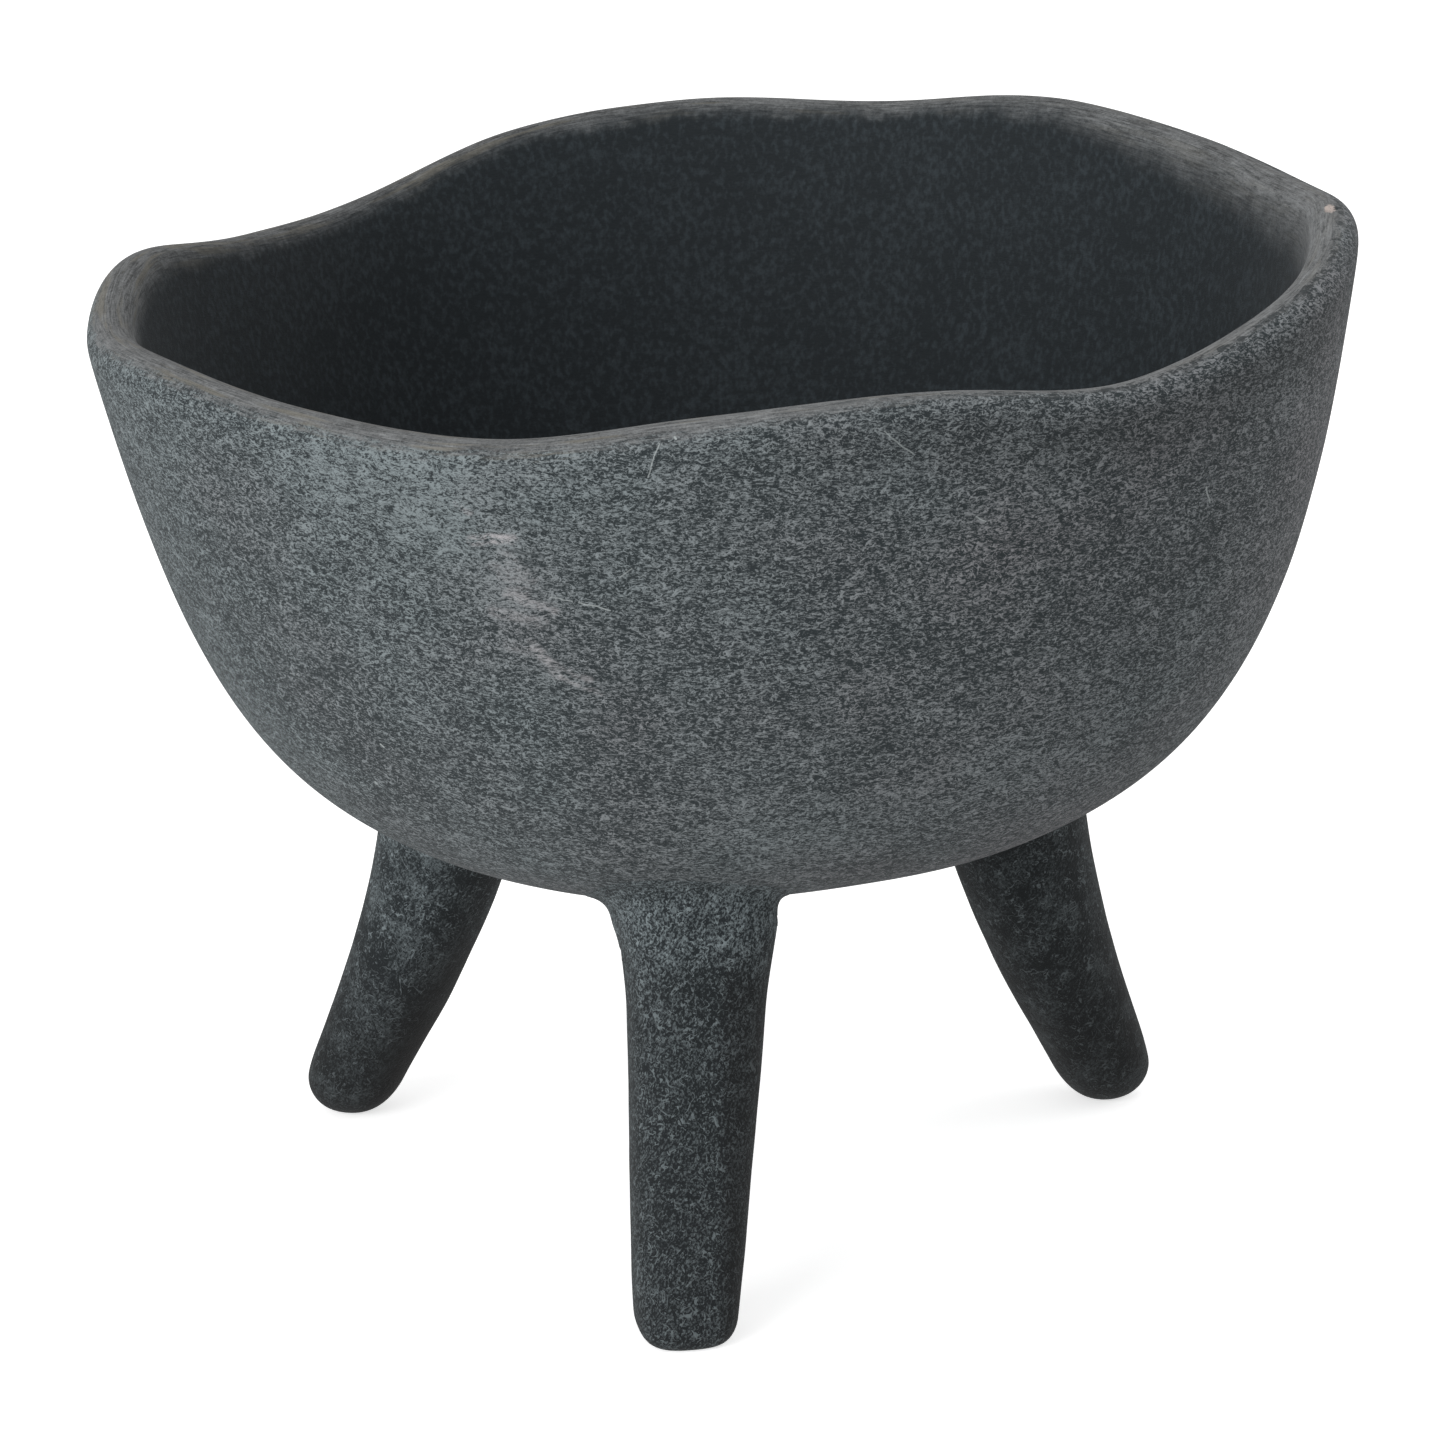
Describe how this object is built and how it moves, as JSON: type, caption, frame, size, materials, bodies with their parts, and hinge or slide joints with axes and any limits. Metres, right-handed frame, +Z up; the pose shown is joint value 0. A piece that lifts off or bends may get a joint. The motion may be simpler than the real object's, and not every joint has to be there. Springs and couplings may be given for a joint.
{
  "type": "molcajete",
  "caption": "Matte charcoal molcajete bowl with a thick, hand shaped wavy rim, standing on tapered splayed legs with smoothed-in roots; no grinding hand.",
  "frame": {"origin": "on the floor under the middle of the rim's bounds in plan, with the feet standing on z = 0", "axes": "+Z up, -Y the front, where the middle leg stands, +X to the right as seen from the front"},
  "size_m": [0.1738, 0.168, 0.146],
  "materials": {
    "bowl_clay": "matte, unglazed, rubbed",
    "leg_clay": "matte, unglazed, rubbed",
    "coil_clay": "matte, unglazed, smoothed by hand"
  },
  "bodies": {
    "root": {"bowl": "bowl_clay", "leg_front": "leg_clay", "leg_right": "leg_clay", "leg_left": "leg_clay", "coil_front": "coil_clay", "coil_right": "coil_clay", "coil_left": "coil_clay"}
  },
  "joints": []
}
